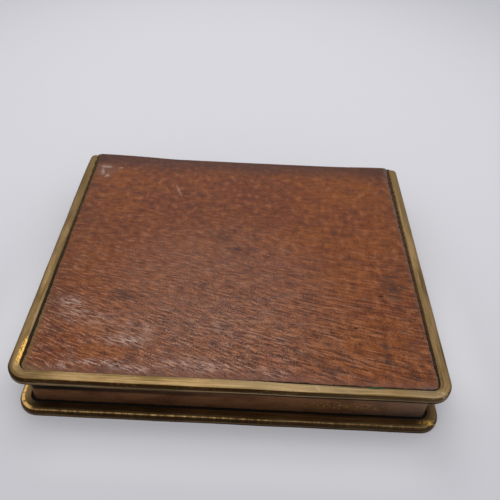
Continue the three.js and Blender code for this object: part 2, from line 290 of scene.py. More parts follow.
def leather_finish(colours):
    """Worn reddish brown leather with a long grain that runs down to the right."""
    finish = Finish.material("worn_leather")
    cloud, ease, blob = finish.cloud, finish.ease, finish.blob
    x, along, border = finish.attribute("hide")
    relief, pale, marked = finish.attribute("marks")
    stained, rosy = ease(marked, 0, 1), ease(marked, 0, -1)
    front = ease(along, 30, -38)
    left, right = ease(x, -18, -40), ease(x, -4, 30)

    # Noises, most of them drawn out along the grain
    wander = cloud(x * 0.04, along * 0.06, 3)
    wiggle = cloud(x * 0.45, along * 0.5, 17)
    across = across_grain(x, along, front) + wander * 2.5 + wiggle * (0.9 - right * 0.5)
    short_ridge = cloud(x * 0.36, across * 2.1, 0, detail=1)
    long_ridge = cloud(x * 0.2, across * 2.05, 41, detail=1)
    hair = cloud(x * 2.2, across * 4.8, 7, detail=1)
    pore = cloud(x * 3, across * 3.8, 2, detail=1)
    fleck = cloud(x * 0.6, across * 0.5, 57)
    tint = cloud(x * 0.25, across * 0.9, 31)
    flake = cloud(x * 0.6, across * 2.3, 51, detail=3, roughness=0.6)
    patch = cloud(x * 0.06, along * 0.09, 11, detail=3, roughness=0.6)
    mottle = cloud(x * 0.22, across * 0.5, 23, detail=4, roughness=0.7)

    # Ridges and pores, stronger towards the front
    bold = 1.1 + right * (1 - right) * 1.7 + blob(x, along, (14, -30), (26, 24)) * 0.4
    ridge = 0.5 + (short_ridge + (long_ridge - short_ridge) * right - 0.5) * bold
    grain = ridge * 0.6 + hair * 0.4 + relief * 0.03
    depth = 0.18 + front * 0.84
    crisp = blob(x, along, (-2, -24), (32, 20)) * 0.3
    # Dry greyed patches, weaker at the sides and stronger towards the front, where they also paint the
    # sheen
    dry = ease(mottle + 0.05 - right * 0.07 - left * 0.04 - rosy * 0.2, 0.48, 0.66)
    dry = dry * (0.25 + front * 0.75)
    dark_pores = ease(pore + dry * 0.06, 0.56, 0.7) * (0.12 + front * 0.6 + crisp)
    light_pores = ease(pore, 0.44, 0.3) * (0.04 + front * 0.38 + crisp)
    patchy = 1 - front * (1 - right) * 0.6
    # Rubbed ridge tops, paler where dry, which also paint glints on the grain
    rubbed = finish.coats(colours.leather_ridge, (colours.leather_scuff_and_sheen, 0.08 + dry * 0.18 + pale * 0.3))

    # Broad tints, margins and worn places, with a painted sheen over the middle and front and painted shade
    # at the back bend
    warmth = patch * 0.6 + tint * 0.4 + right * 0.1 + left * 0.08 + rosy * 0.3
    warm = blob(x, along, *WARM_PLACES[0]) * 0.1 + blob(x, along, *WARM_PLACES[1]) * 0.12
    # A broad painted sheen over the middle and front, in the pale scuff colour
    painted_sheen = blob(x, along, (-3, -20), (34, 36))
    margin = ease(x, -33, -41) * 0.26 + ease(x, 34, 41) * 0.18
    blotch = stained * ease(mottle, 0.35, 0.6) + ease(mottle, 0.42, 0.3) * (1 - right) * 0.6
    edge = ease(border + mottle * 0.8 + front * 0.4, 1.7, 0.8) * ease(x, 36, 41)
    oily = ease(border + mottle * 0.8, 2, 0.9) * ease(x, -36, -41) * ease(along, -5, -28)
    crumb = flake * 0.6 + grain * 0.2 + pore * 0.2
    worn = pale * ease(crumb, 0.46, 0.58)
    stray = (x + mottle * 3 - 1.5, along + tint * 3 - 1.5)
    scratch = blob(x + along * 0.38, along, (-8.45, 23.3), (0.5, 3.4))
    spots = finish.blobs(*stray, FLAKED_SPOTS) + scratch * 0.55
    colour = finish.coats(
        colours.leather,
        (colours.leather_warm, ease(warmth, 0.46, 0.66)),
        (colours.leather_dull_and_sheen, dry * 0.7),
        (colours.leather_stain_and_shade, margin),
        (colours.leather_ridge, warm),
        (colours.leather_scuff_and_sheen, painted_sheen * 0.08),
        (colours.leather_dark, ease(grain, 0.49, 0.38) * depth * (0.74 - right * 0.02)),
        # Lighter grain ridges, stronger towards the front: rubbed tops and painted glints
        (rubbed, ease(grain, 0.53, 0.64) * depth * (1 - right * 0.42)),
        (colours.leather_dark, dark_pores),
        (colours.leather_ridge, light_pores),
        (colours.leather_dark, ease(fleck, 0.48, 0.3) * patchy * 0.42),
        (colours.leather_ridge, ease(fleck, 0.52, 0.7) * patchy * 0.4),
        (colours.leather_stain_and_shade, ease(blotch, 0, 0.9) * 0.75),
        (colours.leather_stain_and_shade, ease(mottle, 0.52, 0.36) * (1 - front) * 0.3),
        # Painted shade along the back, where the leather turns over the bend
        (colours.leather_stain_and_shade, ease(along + mottle * 4, 32, 40) * 0.65),
        (colours.leather_dull_and_sheen, ease(border + mottle, 1.3, 0.5) * 0.5),
        # A painted sheen along the front edge
        (colours.leather_dull_and_sheen, ease(along + mottle * 3, -33, -36) * 0.42),
        (colours.leather_edge, edge * 0.8),
        (colours.brass_olive, oily * 0.45),
        (colours.leather_scuff_and_sheen, worn * 0.68),
        (colours.leather_dark, pale * ease(crumb, 0.44, 0.38) * 0.6),
        (colours.leather_dull_and_sheen, blob(*stray, (-39, 31.4), (4, 4)) * 0.8),
        (colours.leather_scuff_and_sheen, spots * ease(pore, 0.3, 0.6) * 0.55),
        (colours.dirt_and_shade, finish.blobs(x, along, PITS) * 0.85))
    rough = 0.38 + hair * 0.2 + stained * 0.1 - worn * 0.06
    height = ridge * 0.6 + hair * 0.3 + pore * 0.1
    return finish.close(Base_Color=colour, Roughness=rough, Specular_IOR_Level=0.17,
                        Normal=finish.bump(height, 0.2 * MM))


# Places on the rims in millimetres: middle across and along, reach across and along
CLEAR_LIP = (((12, -38.6), (20, 2.2)), ((39, -38.6), (5, 2.2)))
# The base rim's left corner, where a highlight is painted
CORNER_HIGHLIGHT = ((-43.4, -36), (3.2, 5.5))
RUBBED_CORNER = ((42.3, -38.8), (1.6, 1.2))
GREEN_SPOT = ((29.1, -38.1), (2, 0.35))
SCORE_X, SCORE_Y = 17.4, -38.7
SCORES = (((0, 0), (1.4, 0.2)), ((-0.3, 0.5), (0.8, 0.15)))


def brass_finish(colours, name, tarnished, stained, rubs_and_glints):
    """Old brass that follows a rim: lengthwise lines, a tarnished outer edge, stains, bright rubbed places,
    and painted highlights, glints and shade.
    """
    finish = Finish.material(name)
    cloud, ease, blob = finish.cloud, finish.ease, finish.blob
    x, y, _ = finish.place()
    along, inset, height = finish.attribute("run")
    scratch = cloud(along * 0.06, inset * 3.4, height * 3.4, detail=3, roughness=0.7)
    cloudy = cloud(along * 0.1, inset * 0.5, height * 0.5, detail=3, roughness=0.6)
    speck = cloud(along * 1.5, inset * 2.4, height * 2.4, detail=3, roughness=0.65)
    streak = cloud(along * 0.8, 0, 5, detail=3, roughness=0.7)

    # The front's outer face, its bottom edge with tarnish and painted shade, the left strip and what is
    # dull
    facing = ease(y, -35, -38.5)
    left = ease(x, -30, -41)
    # Dark brown over the front's outer face, less towards the right
    upper = ease(inset + (speck - 0.5) * 0.1, 0.46, 0.26) * ease(height + (speck - 0.5) * 0.2, 0.55, 0.85)
    upper = upper * facing * ease(x, 4, 34, 1, 0.8)
    # Tarnish and painted shade along the bottom edge of the front, darkest at the right of the lid
    bottom_edge_tarnish_and_shade = ease(height, 0.6, 0.3) * ease(inset, 0.8, 0.5) * facing
    bottom_edge_tarnish_and_shade = bottom_edge_tarnish_and_shade * ease(x, -36, 12, 0.55, 0.95)
    rubbed = ease(cloudy * 0.5 + speck * 0.5, 0.5, 0.66)
    dulled = ease(x, 30, 42) * ease(y, 16, -28, 0.03, 0.34) * (1 - facing * 0.75)
    dulled = dulled + left * ease(y, -10, 8) * 0.42

    # Painted shade on the ledge under the lid, grime and a painted shining bead on the rounded edge, and a
    # painted highlight on the left corner's ledge, which only the tarnished rim has; bright rubbed places,
    # with a painted glint on the lid
    # Painted shade on the base rim's front ledge under the lid, strongest at the left
    shaded_ledge = ease(inset, 0.8, 1.3) * ease(height, 1.2, 1.5) * facing * ease(x, 12, -34, 0.15, 1)
    soiled = ease(inset, 0.95, 0.7) * ease(height, 0.7, 1) * facing
    soiled = soiled * ease(streak, 0.62, 0.44) * ease(x, -39, -34)
    # The base rim's left corner, painted with a highlight on its edge and ledge
    polish = blob(x, y, *CORNER_HIGHLIGHT)
    # A painted highlight along the rounded front edge, in broken dashes, fainter towards the right
    dashes = ease(streak, 0.34, 0.66) * facing * ease(x, 24, -12, 0.25, 0.5)
    bead = ease(inset, 0.3, 0.42) * ease(inset, 0.64, 0.52) * ease(height, 1, 1.2)
    bead = bead * (dashes + polish * 0.6) * (2 * tarnished)
    # A painted highlight on the ledge at the left corner
    ledge = ease(inset, 0.4, 0.65) * ease(inset, 1.2, 0.85) * ease(height, 1, 1.5)
    ledge = ledge * polish * ease(streak, 0.34, 0.56) * (2 * tarnished)
    # Rubbed brass, and on the lid's left strip a painted glint
    rub_and_glint = finish.blobs(x, y, rubs_and_glints) * ease(scratch * 0.5 + speck * 0.5, 0.44, 0.58)
    rub_and_glint = rub_and_glint + polish * tarnished * 0.3

    # Scores, flecks and a green spot, which only the stained rim has
    across = (x - SCORE_X) * 0.69 - (y - SCORE_Y) * 0.72
    down = (x - SCORE_X) * 0.72 + (y - SCORE_Y) * 0.69
    scored = finish.blobs(across, down, SCORES) * ease(speck, 0.4, 0.6)
    flecks = blob(x, y, *RUBBED_CORNER) * ease(speck, 0.5, 0.6)
    colour = finish.coats(
        colours.brass_olive,
        (colours.brass, ease(cloudy + scratch * 0.8, 0.66, 1.1)),
        (colours.brass_pale, ease(scratch, 0.56, 0.72) * 0.5),
        (colours.tarnish, ease(scratch, 0.46, 0.3) * 0.4),
        (colours.verdigris, ease(inset + speck * 1.2, 2.3, 3.1) * stained),
        (colours.tarnish, left * (0.36 - rubbed * 0.3) * (1 - tarnished)),
        (colours.tarnish, dulled),
        (colours.brass_pale, finish.blobs(x, y, CLEAR_LIP) * (0.5 * stained)),
        (colours.brass_olive, ease(y, -4, 36) * 0.65),
        (colours.brass_brown, upper * (1 - rubbed * 0.2)),
        (colours.tarnish, bottom_edge_tarnish_and_shade),
        (colours.dirt_and_shade, bottom_edge_tarnish_and_shade * ease(x, -12, 16) * (0.75 - tarnished)),
        (colours.tarnish, tarnished),
        (colours.dirt_and_shade, shaded_ledge * (1.3 * tarnished)),
        (colours.dirt_and_shade, soiled * (0.7 * tarnished)),
        (colours.brass_bright, ease(rub_and_glint, 0, 0.8) * 0.85),
        (colours.brass_shine, ease(bead, 0, 1)),
        (colours.brass_shine, ease(ledge, 0, 0.7)),
        (colours.brass_pale, (scored + flecks) * (1.4 * stained)),
        (colours.green, blob(x, y, *GREEN_SPOT) * (1.6 * stained)))
    rough = 0.36 + scratch * 0.16 + upper * 0.1 + bottom_edge_tarnish_and_shade * 0.35 - ease(rub_and_glint, 0, 1) * 0.1
    normal = finish.bump(scratch * 0.7 + speck * 0.3, 0.035 * MM)
    return finish.close(Base_Color=colour, Roughness=rough, Metallic=0.95, Normal=normal)


def wall_finish(colours):
    """Brown tarnished brass of the tray wall, gilt inside, with rubbed flecks."""
    finish = Finish.material("tray_wall_brass")
    cloud, ease = finish.cloud, finish.ease
    along, inset, height = finish.attribute("run")
    x, y, _ = finish.place()
    cloudy = cloud(along * 0.12, height * 0.3, inset, detail=4, roughness=0.6)
    speck = cloud(along * 1.3, height * 1.6, inset * 2, detail=3, roughness=0.7)
    grit = cloud(along * 2.2, height * 2.6, inset)
    greyed = ease(x, 20, 42) * ease(y, -28, -36)
    rubbed = finish.blob(height, x, (3.2, 25), (1.8, 16)) * ease(cloudy, 0.36, 0.52)
    shade = ease(height, 3.9, 4.7) * ease(x, 16, -24) * ease(y, -30, -36)
    colour = finish.coats(
        colours.wall,
        (colours.leather_dark, ease(cloudy, 0.4, 0.7) * 0.6),
        (colours.leather_ridge, ease(grit, 0.55, 0.7) * ease(cloudy, 0.4, 0.6) * 0.5),
        (colours.steel, greyed * 0.2),
        (colours.brass_bright, rubbed * ease(speck + grit * 0.3, 0.68, 0.8) * 0.45),
        (colours.dirt_and_shade, shade * ease(x, -24, -36, 0.8, 1)),
        (colours.dirt_and_shade, ease(speck, 0.42, 0.3) * 0.4),
        (colours.gilt, ease(inset, 0.25, 0.4)))
    return finish.close(Base_Color=colour, Roughness=0.4 + speck * 0.2, Metallic=0.7,
                        Specular_IOR_Level=0.12, Normal=finish.bump(speck, 0.04 * MM))


def gilt_finish(colours, name, ends=100):
    """Warm rolled brass of the inside, with rolling lines and faint tarnish, brown beyond its ends."""
    finish = Finish.material(name)
    x, y, z = finish.place()
    lines = finish.cloud(x * 0.08, y * 5, z * 5, detail=3, roughness=0.65)
    cloudy = finish.cloud(x * 0.06, y * 0.08, z * 0.3, detail=8, roughness=0.68)
    spots = finish.cloud(x * 0.9, y * 0.9, z * 0.9, detail=3, roughness=0.6)
    colour = finish.coats(
        colours.gilt,
        (colours.brass_olive, finish.ease(cloudy, 0.46, 0.78) * 0.5),
        (colours.brass_olive, finish.ease(lines, 0.54, 0.7) * 0.35),
        (colours.tarnish, finish.ease(spots, 0.64, 0.74) * 0.6),
        (colours.tarnish, finish.ease(x * x, (ends - 0.3) ** 2, (ends - 0.1) ** 2) * 0.9))
    return finish.close(Base_Color=colour, Roughness=0.26 + lines * 0.16 + cloudy * 0.12, Metallic=1,
                        Normal=finish.bump(lines, 0.02 * MM))


def steel_finish(colours):
    """Grey steel with turning marks."""
    finish = Finish.material("hinge_steel")
    x, y, z = finish.place()
    rings = finish.cloud(x * 6, y * 0.4, z * 0.4)
    spots = finish.cloud(x * 1.1, y * 1.1, z * 1.1, detail=3)
    colour = finish.coats(colours.steel, (colours.tarnish, finish.ease(spots, 0.58, 0.75) * 0.5))
    return finish.close(Base_Color=colour, Roughness=0.3 + rings * 0.2, Metallic=1,
                        Normal=finish.bump(rings, 0.01 * MM))


def residue_finish(colours):
    """Brown residue of polish and grime, darker towards the front, with a green spot."""
    finish = Finish.material("groove_residue")
    x, y, z = finish.place()
    lumps = finish.cloud(x * 0.6, y * 0.6, z * 0.6, detail=3)
    crumbs = finish.cloud(x * 1.6, y * 1.6, z * 1.6, detail=3)
    spot = finish.blob(x, y, (29.1, -37.4), (2.2, 1)) * finish.ease(z, 6, 10)
    colour = finish.coats(
        colours.verdigris,
        (colours.grime, finish.ease(lumps + x * 0.004, 0.3, 0.62)),
        (colours.dirt_and_shade, finish.ease(y + x * 0.25, 6, -28) * 0.55),
        (colours.dirt_and_shade, finish.ease(crumbs, 0.5, 0.64) * 0.6),
        # Near the floor, that is on the wall foot's bead, all black: grime that also paints the shade of
        # its slit
        (colours.dirt_and_shade, finish.ease(z, 9, 5)),
        (colours.green, spot * 0.9))
    return finish.close(Base_Color=colour, Roughness=0.75 + lumps * 0.2, Specular_IOR_Level=0.15,
                        Normal=finish.bump(lumps, 0.1 * MM))


def elastic_finish(colours):
    """Dark woven elastic with ribs along its length."""
    finish = Finish.material("woven_elastic")
    x, y, z = finish.place()
    flat = finish.node("ShaderNodeCombineXYZ", None, {0: x, 1: y, 2: 0})
    weave = finish.node("ShaderNodeTexWave", {"wave_type": "BANDS", "bands_direction": "X"},
                        {"Vector": flat, "Scale": 0.9, "Distortion": 0.6}, 1)
    fuzz = finish.cloud(x * 4, y * 4, z)
    low, high = BAND
    turned = (y - low.y / MM) * (math.pi * BAND_RIBS * MM / (high.y - low.y))
    rib = abs(turned.math("SINE", turned))
    colour = finish.coats(
        colours.elastic,
        (colours.leather_dark, weave * 0.35),
        # Painted shade in the grooves between the ribs
        (colours.dirt_and_shade, finish.ease(rib, 0.7, 0.25) * 0.85),
        (colours.leather_scuff_and_sheen, finish.ease(fuzz, 0.6, 0.85) * 0.25))
    return finish.close(Base_Color=colour, Roughness=0.85 + fuzz * 0.1,
                        Normal=finish.bump(weave * 0.7 + fuzz * 0.3, 0.08 * MM))


def card_finish(colours):
    """Pressed card of the spine's stiffener."""
    finish = Finish.material("pressed_card")
    x, y, z = finish.place()
    fibre = finish.cloud(x * 0.7, y * 3, z * 3, detail=3, roughness=0.7)
    colour = finish.coats(colours.card, (colours.leather_dark, finish.ease(fibre, 0.55, 0.8) * 0.5))
    return finish.close(Base_Color=colour, Roughness=0.85 + fibre * 0.1,
                        Normal=finish.bump(fibre, 0.05 * MM))


def floor_finish(colours):
    """Matt pale studio floor, darker away from the case as painted falloff of the light, with a painted
    light ring round the case's front and lighter towards the horizon.
    """
    finish = Finish.material("studio_floor")
    x, y, _ = finish.place()
    paper = finish.cloud(x * 0.004, y * 0.004)
    # Painted falloff of the light: darker away from a point behind the case
    away = finish.ease(x * x + (y - 85) ** 2, 0, 200 ** 2)
    horizon = finish.ease(x * x + y * y, 400 ** 2, 1600 ** 2)
    gap = x.math("MAXIMUM", abs(x) - LID_RIM[1].x / MM, abs(y) + LID_RIM[0].y / MM)
    corners = finish.ease(x * x, 28 ** 2, 48 ** 2) * finish.ease(y, -22, -38)
    # A painted light ring 1 to 17 mm round the front half of the case, which thins its shadow; the front
    # corners are left out
    near = finish.ease(gap, 1, 6) * finish.ease(gap, 17, 8)
    near = near * finish.ease(y, 20, -16) * (1 - corners)
    colour = finish.coats(colours.floor, (colours.floor_falloff_shade, away), (colours.floor_horizon_and_light, horizon),
                          (colours.floor_horizon_and_light, near * 0.45))
    return finish.close(Base_Color=colour, Roughness=0.8 + paper * 0.1)


# Mesh helpers

SHARP_ANGLE = math.radians(40)
MERGE_REACH = 0.002 * MM
FINE_END = 3 * MM
LIP_LOSS = 0.42 * MM
# Shifts that set the three directions of the waver's noise apart
WAVER_LAYERS = (0, 17.3, 41.9)


def held(value, low=0, high=1):
    """A value held between two limits."""
    return min(max(value, low), high)


def eased(value):
    """A value held between 0 and 1, with a smooth start and end."""
    share = held(value)
    return share * share * (3 - 2 * share)


def piece_from(bm, name, material, body, nodes):
    """Turns a bmesh into a named piece that rides on a body and stands for CAD nodes."""
    mesh = bpy.data.meshes.new(name)
    bm.to_mesh(mesh)
    bm.free()
    for face in mesh.polygons:
        face.use_smooth = True
    mesh.set_sharp_from_angle(angle=SHARP_ANGLE)
    mesh.materials.append(material)
    piece = bpy.data.objects.new(name, mesh)
    bpy.context.scene.collection.objects.link(piece)
    if body:
        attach(piece, body)
    if nodes:
        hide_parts(*nodes)
    return piece


def bevel(bm, geometry, offset, segments, affect="EDGES", clamp_overlap=False):
    """Rounds edges or corners by an offset in metres."""
    bmesh.ops.bevel(bm, geom=geometry, offset=offset, offset_type="OFFSET", segments=segments,
                    profile=0.5, affect=affect, material=-1, clamp_overlap=clamp_overlap)


def open_edges(geometry):
    """The edges of an operator's result that only one face uses."""
    return [item for item in geometry if isinstance(item, bmesh.types.BMEdge) and item.is_boundary]


def carry(bm, edges, direction, length, step):
    """Extrudes a closed loop of edges in even steps along a straight line."""
    count = max(1, round(length / step))
    move = Vector(direction) * (length / count)
    for _ in range(count):
        made = bmesh.ops.extrude_edge_only(bm, edges=edges)["geom"]
        points = [item for item in made if isinstance(item, bmesh.types.BMVert)]
        bmesh.ops.translate(bm, verts=points, vec=move)
        edges = open_edges(made)
    return edges


def turn(bm, edges, centre, steps):
    """Carries a closed loop of edges round a quarter turn about an upright axis."""
    points = list(dict.fromkeys(point for edge in edges for point in edge.verts))
    made = bmesh.ops.spin(bm, geom=points + list(edges), cent=centre, axis=(0, 0, 1),
                          angle=math.pi / 2, steps=steps, use_merge=False)["geom_last"]
    return open_edges(made)


def sweep_front(section, outline, step=1.2 * MM, corner_steps=12):
    """Carries a closed section of (inset, height) down the left side, along the front and up the right."""
    half, front, back, radius = outline
    bm = bmesh.new()
    corner = bm.verts.layers.int.new("corner")
    points = [bm.verts.new((inset - half, back, height)) for inset, height in section]
    for number, point in enumerate(points):
        point[corner] = number + 1
    first = [bm.edges.new(pair) for pair in zip(points, points[1:] + points[:1])]
    side = back - front - radius
    loop = carry(bm, first, (0, -1, 0), FINE_END, step / 4)
    loop = carry(bm, loop, (0, -1, 0), side - FINE_END, step)
    loop = turn(bm, loop, (radius - half, front + radius, 0), corner_steps)
    loop = carry(bm, loop, (1, 0, 0), 2 * (half - radius), step)
    loop = turn(bm, loop, (half - radius, front + radius, 0), corner_steps)
    loop = carry(bm, loop, (0, 1, 0), side - FINE_END, step)
    loop = carry(bm, loop, (0, 1, 0), FINE_END, step / 4)
    for end in (first, loop):
        bmesh.ops.contextual_create(bm, geom=end)
    bmesh.ops.recalc_face_normals(bm, faces=bm.faces)
    return bm, corner


def round_runs(bm, corner, numbers, offset, segments):
    """Bevels the long edges that some corners of a swept section have drawn."""
    for number in numbers:
        edges = [edge for edge in bm.edges if edge.verts[0][corner] == edge.verts[1][corner] == number]
        bevel(bm, edges, offset, segments, clamp_overlap=True)


def run_of(x, y, outline):
    """How far along a U-shaped outline a point lies, and how far inside it."""
    half, front, back, radius = outline
    side = back - front - radius
    quarter = radius * math.pi / 2
    straight = 2 * (half - radius)
    across, down = abs(x) - (half - radius), y - (front + radius)
    if down >= 0:
        inset = half - abs(x)
        along = back - y if x < 0 else 2 * (side + quarter) + straight - (back - y)
    elif across <= 0:
        inset = y - front
        along = side + quarter + x + half - radius
    else:
        inset = radius - math.hypot(across, down)
        swung = radius * math.atan2(-down, across)
        along = side + swung if x < 0 else side + 2 * quarter + straight - swung
    return along, inset


def mark_run(bm, outline, foot):
    """Writes each point's run, inset and height over the foot, in millimetres, for the material."""
    layer = bm.verts.layers.float_vector.new("run")
    for point in bm.verts:
        along, inset = run_of(point.co.x, point.co.y, outline)
        point[layer] = (along / MM, inset / MM, (point.co.z - foot) / MM)


def waver(bm, amount, size, seed):
    """Moves points a little by smooth noise, so that nothing is dead straight."""
    for point in bm.verts:
        place = point.co / size + Vector((seed, 0.7 * seed, 1.3 * seed))
        shifts = [noise.noise(place + Vector((0, 0, layer))) for layer in WAVER_LAYERS]
        point.co += Vector(shifts) * amount


def lip_loss(x, y):
    """How far the lid's front lip falls short of its width at a place, growing to the right."""
    return LIP_LOSS * held((-34 - y / MM) / 3) * eased((x / MM + 5) / 35)


def lathe(bm, centre, axis, steps):
    """Spins an outline once round an axis and closes what it draws."""
    edges = [edge for edge in bm.edges if not edge.link_faces]
    bmesh.ops.spin(bm, geom=[*bm.verts, *edges], cent=centre, axis=axis, angle=2 * math.pi,
                   steps=steps, use_merge=True)
    bmesh.ops.remove_doubles(bm, verts=bm.verts, dist=MERGE_REACH)
    bmesh.ops.recalc_face_normals(bm, faces=bm.faces)


def hinge_tube(node, bore, outer, rounding):
    """A turned tube on the hinge's axis, or a rod where the bore is 0, as long as its node."""
    low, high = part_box(node)
    bm = bmesh.new()
    section = [(low.x, outer), (high.x, outer), (high.x, bore), (low.x, bore)]
    points = [bm.verts.new((x, HINGE.y, HINGE.z + radius)) for x, radius in section]
    for pair in zip(points, points[1:] + points[:1]):
        bm.edges.new(pair)
    bevel(bm, points[:2], rounding, 3, affect="VERTICES")
    lathe(bm, (0, HINGE.y, HINGE.z), (1, 0, 0), 32)
    return bm


# Operators


class CASE_OT_stage(bpy.types.Operator):
    """Floor, soft studio light and the camera at the photograph's viewing angle"""
    bl_idname = "case.stage"
    bl_label = "Stage"

    FLOOR_REACH = 4
    # Each lamp's name, place, side in metres, energy in watts and colour
    LAMPS = (("ceiling", (0, -0.15, 0.95), 0.9, 2.6, (1, 0.99, 0.97)),
             ("back_softbox", (-0.08, 0.42, 0.54), 0.34, 0.75, (1, 0.98, 0.96)))
    # The camera's place in metres, its turn in degrees, and its lens and sensor in millimetres
    CAMERA_PLACE = (0.001524, -0.106663, 0.112406)
    CAMERA_TURN = (47.165, -2.4562, 1.5555)
    CAMERA_LENS, CAMERA_SENSOR = 42.52, 36
    CAMERA_NEAREST = 0.005
    # The colours of the surroundings: what lights the case, and what is seen
    SKY_LIGHT = (0.97, 0.98, 1, 1)
    SKY_SHOWN = (0.64, 0.64, 0.67, 1)

    def execute(self, context):
        scene = context.scene
        bm = bmesh.new()
        bmesh.ops.create_grid(bm, x_segments=8, y_segments=8, size=self.FLOOR_REACH)
        floor = piece_from(bm, "studio_floor", floor_finish(scene.case_colours), None, ())
        scene.world = self.sky()
        for name, place, size, energy, colour in self.LAMPS:
            light = bpy.data.lights.new(name, "AREA")
            light.size = size
            light.energy = energy
            light.color = colour
            lamp = bpy.data.objects.new(name, light)
            lamp.location = place
            lamp.rotation_euler = (-Vector(place)).to_track_quat("-Z", "Y").to_euler()
            scene.collection.objects.link(lamp)
        camera = bpy.data.objects.new("camera", bpy.data.cameras.new("camera"))
        camera.data.sensor_width = self.CAMERA_SENSOR
        camera.data.lens = self.CAMERA_LENS
        camera.data.clip_start = self.CAMERA_NEAREST
        camera.location = self.CAMERA_PLACE
        camera.rotation_euler = Euler([math.radians(angle) for angle in self.CAMERA_TURN])
        scene.collection.objects.link(camera)
        scene.camera = camera
        scene.view_settings.view_transform = "Standard"
        return {"FINISHED"}

    def sky(self):
        """Pale surroundings, brighter overhead, on the camera's side and to the right."""
        finish = Finish(bpy.data.worlds.new("studio"))
        toward_right, toward_back, up = finish.split(finish.node("ShaderNodeTexCoord", output="Generated"))
        rays = ("Is Camera Ray", "Is Glossy Ray", "Is Transmission Ray")
        seen = sum(finish.node("ShaderNodeLightPath", output=ray) for ray in rays)
        level = finish.ease(up, 0, 0.95, 0.36, 0.72) + finish.ease(toward_back, 0.2, -0.8) * 0.34
        level = level + finish.ease(toward_right, 0.2, 0.9) * 0.14
        light = finish.node("ShaderNodeBackground", None, {"Color": self.SKY_LIGHT, "Strength": level})
        shown = finish.node("ShaderNodeBackground", None, {"Color": self.SKY_SHOWN, "Strength": 1})
        both = finish.node("ShaderNodeMixShader", None, {0: seen, 1: light, 2: shown})
        finish.node("ShaderNodeOutputWorld", None, {"Surface": both})
        return finish.owner


